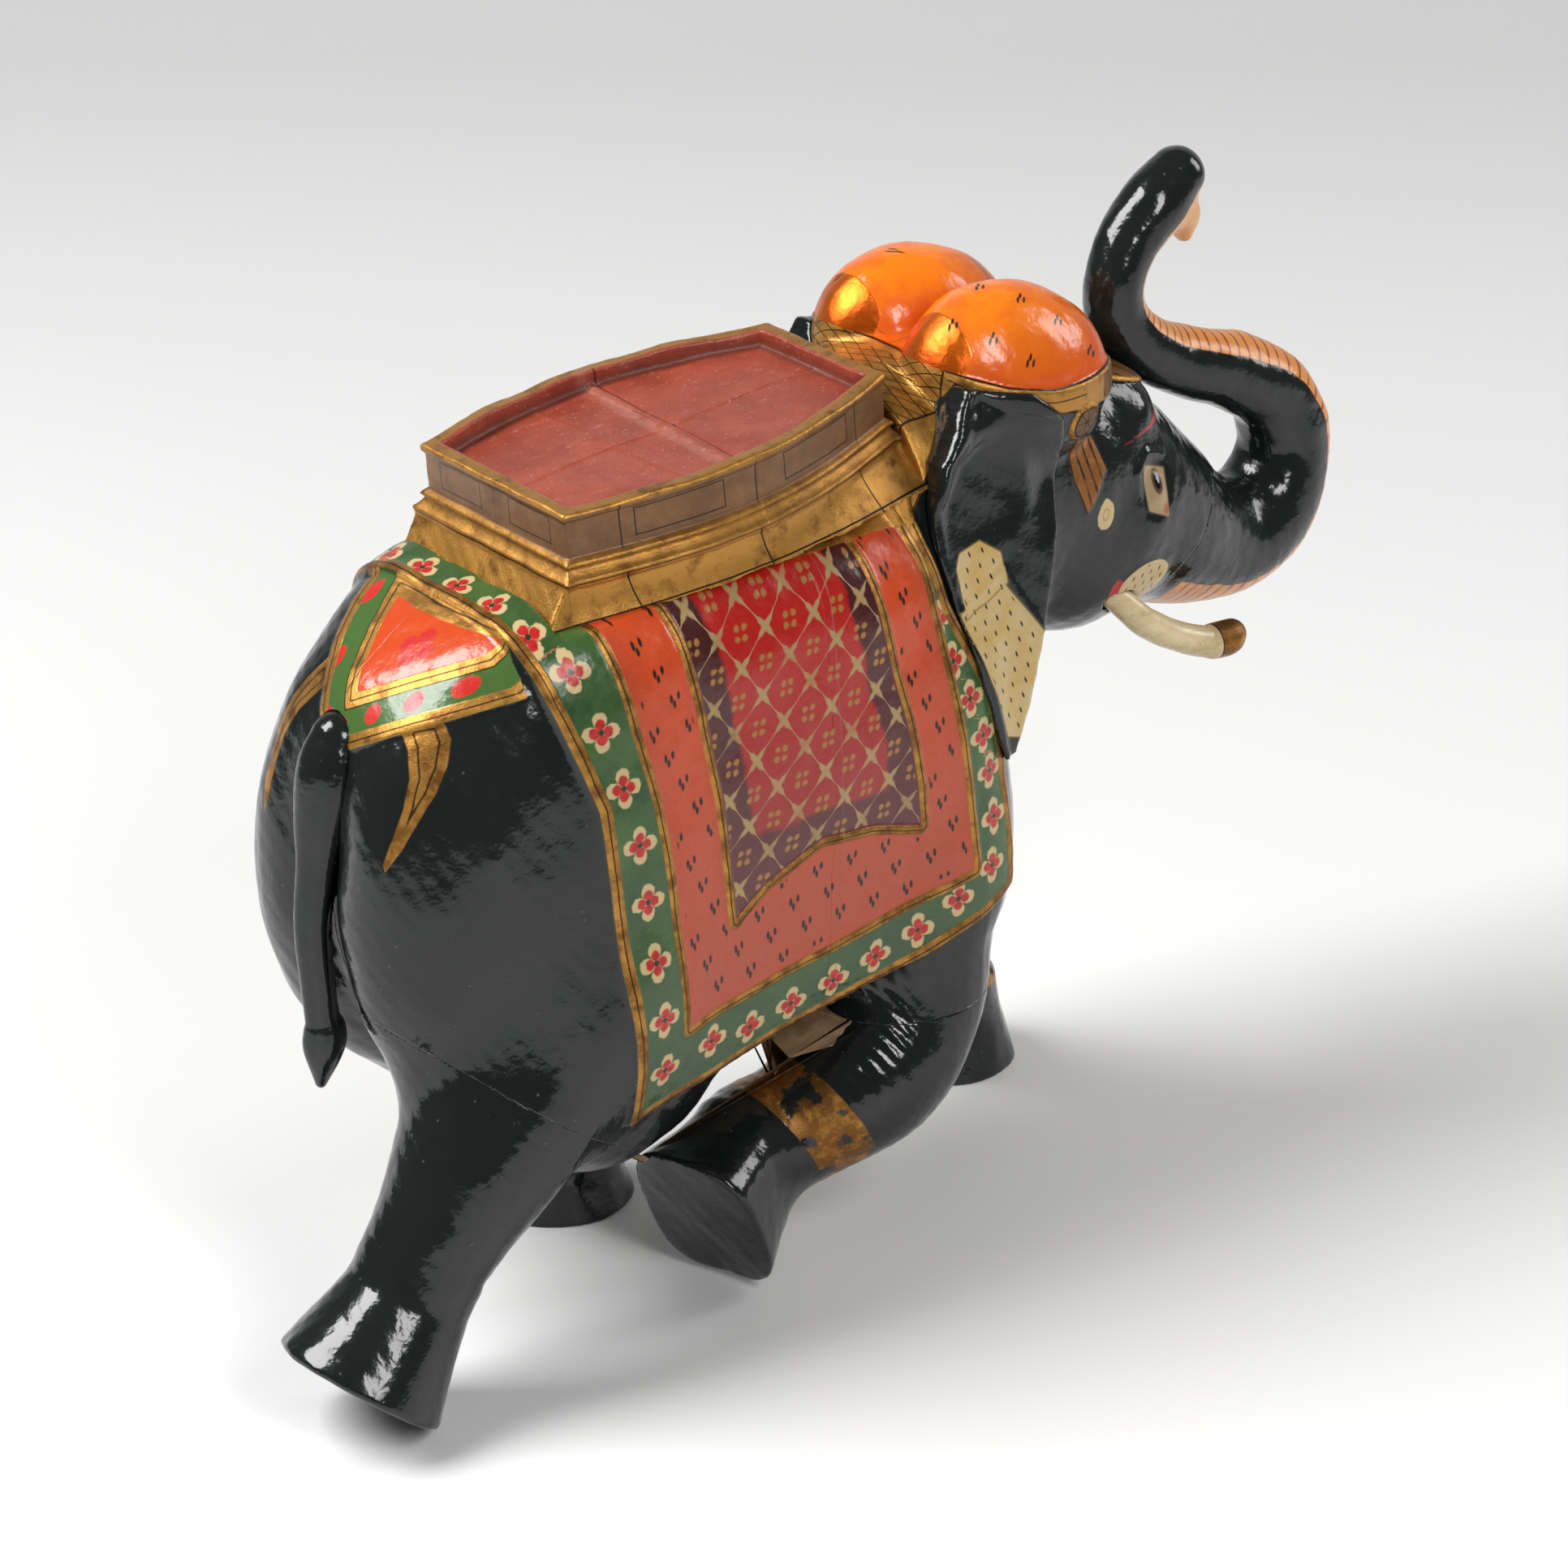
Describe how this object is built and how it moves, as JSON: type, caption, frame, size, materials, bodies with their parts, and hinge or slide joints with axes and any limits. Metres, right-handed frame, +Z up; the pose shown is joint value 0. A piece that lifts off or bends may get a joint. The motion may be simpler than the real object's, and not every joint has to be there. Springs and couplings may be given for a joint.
{
  "type": "carved elephant figurine",
  "caption": "Free-standing carved and painted wooden elephant in stride, trunk raised over its head, with a shallow howdah tray on its back.",
  "frame": {"origin": "on the floor below the middle of the figure's bounding box", "axes": "+X forward out of the forehead, +Y to the elephant's left, +Z up"},
  "size_m": [0.4299, 0.135, 0.3149],
  "materials": {
    "black_lacquer": "glossy black lacquer over carved wood",
    "painted_cloth": "painted saddle cloth in relief under clear lacquer",
    "turban_orange": "orange paint under clear lacquer",
    "gold_paint": "bronze gold paint, worn",
    "ivory_paint": "cream paint under clear lacquer",
    "bare_wood": "bare turned dowel"
  },
  "bodies": {
    "root": {"torso_rear_left": "painted_cloth", "torso_rear_right": "painted_cloth", "torso_front_left": "painted_cloth", "torso_front_right": "painted_cloth", "head_left": "turban_orange", "head_right": "turban_orange", "trunk": "black_lacquer", "ear_left": "black_lacquer", "ear_right": "black_lacquer", "tusk_left": "ivory_paint", "tusk_right": "ivory_paint", "leg_front_left": "black_lacquer", "leg_front_right": "black_lacquer", "leg_rear_left": "black_lacquer", "leg_rear_right": "black_lacquer", "tail": "black_lacquer", "howdah_rear_left": "gold_paint", "howdah_rear_right": "gold_paint", "howdah_front_left": "gold_paint", "howdah_front_right": "gold_paint", "leg_dowels": "bare_wood", "head_dowels": "bare_wood", "trunk_dowel": "bare_wood", "tail_dowel": "bare_wood", "howdah_dowels": "bare_wood"}
  },
  "joints": []
}
